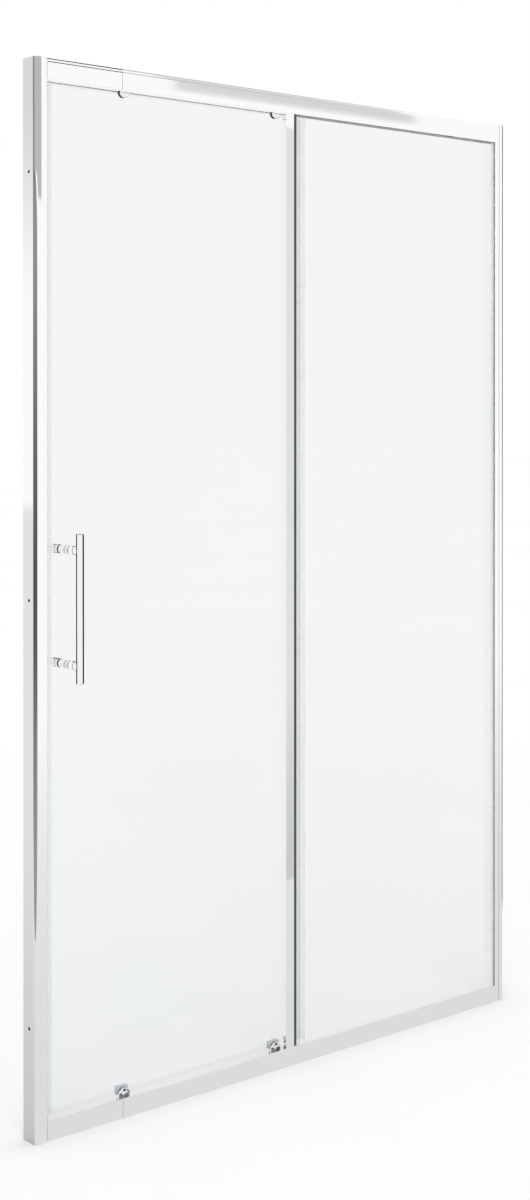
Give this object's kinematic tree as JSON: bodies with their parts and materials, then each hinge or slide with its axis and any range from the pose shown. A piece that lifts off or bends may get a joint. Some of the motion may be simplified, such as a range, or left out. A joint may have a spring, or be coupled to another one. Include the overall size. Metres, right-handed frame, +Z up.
{
  "type": "sliding shower door enclosure",
  "caption": "Framed recess shower enclosure: fixed glass pane, sliding glass door on rollers behind it, bar handle, telescopic side profiles.",
  "frame": {"origin": "middle of the bottom rail's underside, where the enclosure stands on the tray", "axes": "+X along the opening from the handle side to the fixed pane side, -Y towards the bathroom, +Z up"},
  "size_m": [1.2, 0.0933, 1.9],
  "materials": {
    "bright_aluminium": "bright anodised extrusion",
    "clear_glass": "clear toughened glass, polished edges",
    "chrome": "polished chrome plate",
    "black_rubber": "matt black gasket",
    "clear_pvc": "translucent soft plastic seal",
    "white_nylon": "moulded white nylon",
    "grey_plastic": "moulded grey plastic",
    "stainless": "stainless steel"
  },
  "bodies": {
    "frame": {"wall_channel_left": "bright_aluminium", "wall_channel_right": "bright_aluminium", "jamb_left": "bright_aluminium", "jamb_right": "bright_aluminium", "top_rail": "bright_aluminium", "top_rail_end_piece": "bright_aluminium", "bottom_rail": "bright_aluminium", "bottom_rail_end_piece": "bright_aluminium", "top_rail_joiner": "bright_aluminium", "bottom_rail_joiner": "bright_aluminium", "top_groove_cover": "bright_aluminium", "joiner_screws": "stainless", "corner_screws": "stainless", "jamb_screws": "stainless", "screw_caps": "grey_plastic", "jamb_seal": "clear_pvc", "door_stops": "black_rubber", "fixed_glass": "clear_glass", "fixed_gasket_top": "clear_pvc", "fixed_gasket_bottom": "clear_pvc", "fixed_gasket_side": "clear_pvc", "post_profile": "bright_aluminium", "post_gasket": "black_rubber"},
    "door": {"door_glass": "clear_glass", "closing_seal": "clear_pvc", "overlap_seal": "clear_pvc", "handle_bar": "chrome", "handle_standoffs": "chrome", "handle_studs": "stainless", "handle_sleeves": "clear_pvc", "handle_washers": "clear_pvc", "handle_inner_knobs": "chrome", "top_roller_cap_left": "chrome", "top_roller_cap_right": "chrome", "top_roller_carrier_left": "stainless", "top_roller_carrier_right": "stainless", "top_roller_bushes": "clear_pvc", "top_roller_bolts": "stainless", "top_axles": "stainless", "guide_plate_left": "chrome", "guide_plate_right": "chrome", "guide_housing_left": "grey_plastic", "guide_housing_right": "grey_plastic", "guide_screws": "stainless", "guide_spring_left": "stainless", "guide_spring_right": "stainless"},
    "top_wheel_left": {"top_wheel_left": "white_nylon", "top_bearing_left": "stainless"},
    "top_wheel_right": {"top_wheel_right": "white_nylon", "top_bearing_right": "stainless"},
    "guide_left": {"guide_slider_left": "stainless", "release_button_left": "chrome", "bottom_axle_left": "stainless"},
    "bottom_wheel_left": {"bottom_wheel_left": "white_nylon", "bottom_bearing_left": "stainless"},
    "guide_right": {"guide_slider_right": "stainless", "release_button_right": "chrome", "bottom_axle_right": "stainless"},
    "bottom_wheel_right": {"bottom_wheel_right": "white_nylon", "bottom_bearing_right": "stainless"}
  },
  "joints": [
    {"name": "door_slide", "type": "slide", "parent": "frame", "child": "door", "axis": [1, 0, 0], "range_m": [0, 0.485]},
    {"name": "top_wheel_left_spin", "type": "hinge", "parent": "door", "child": "top_wheel_left", "pos_m": [-0.396, 0.0134, 1.876], "axis": [0, 1, 0], "continuous": true},
    {"name": "top_wheel_right_spin", "type": "hinge", "parent": "door", "child": "top_wheel_right", "pos_m": [-0.034, 0.0134, 1.876], "axis": [0, 1, 0], "continuous": true},
    {"name": "guide_left_release", "type": "slide", "parent": "door", "child": "guide_left", "axis": [0, 0, 1], "range_m": [0, 0.006], "stiffness_N_per_m": 400, "springref_m": -0.004, "deforming": ["guide_spring_left"]},
    {"name": "bottom_wheel_left_spin", "type": "hinge", "parent": "guide_left", "child": "bottom_wheel_left", "pos_m": [-0.396, 0.0134, 0.02], "axis": [0, 1, 0], "continuous": true},
    {"name": "guide_right_release", "type": "slide", "parent": "door", "child": "guide_right", "axis": [0, 0, 1], "range_m": [0, 0.006], "stiffness_N_per_m": 400, "springref_m": -0.004, "deforming": ["guide_spring_right"]},
    {"name": "bottom_wheel_right_spin", "type": "hinge", "parent": "guide_right", "child": "bottom_wheel_right", "pos_m": [-0.034, 0.0134, 0.02], "axis": [0, 1, 0], "continuous": true}
  ],
  "couplings": [
    {"joint": "top_wheel_left_spin", "follows": "door_slide", "rad_per_m": 108.7},
    {"joint": "top_wheel_right_spin", "follows": "door_slide", "rad_per_m": 108.7},
    {"joint": "bottom_wheel_left_spin", "follows": "door_slide", "rad_per_m": 161.29},
    {"joint": "bottom_wheel_right_spin", "follows": "door_slide", "rad_per_m": 161.29}
  ]
}
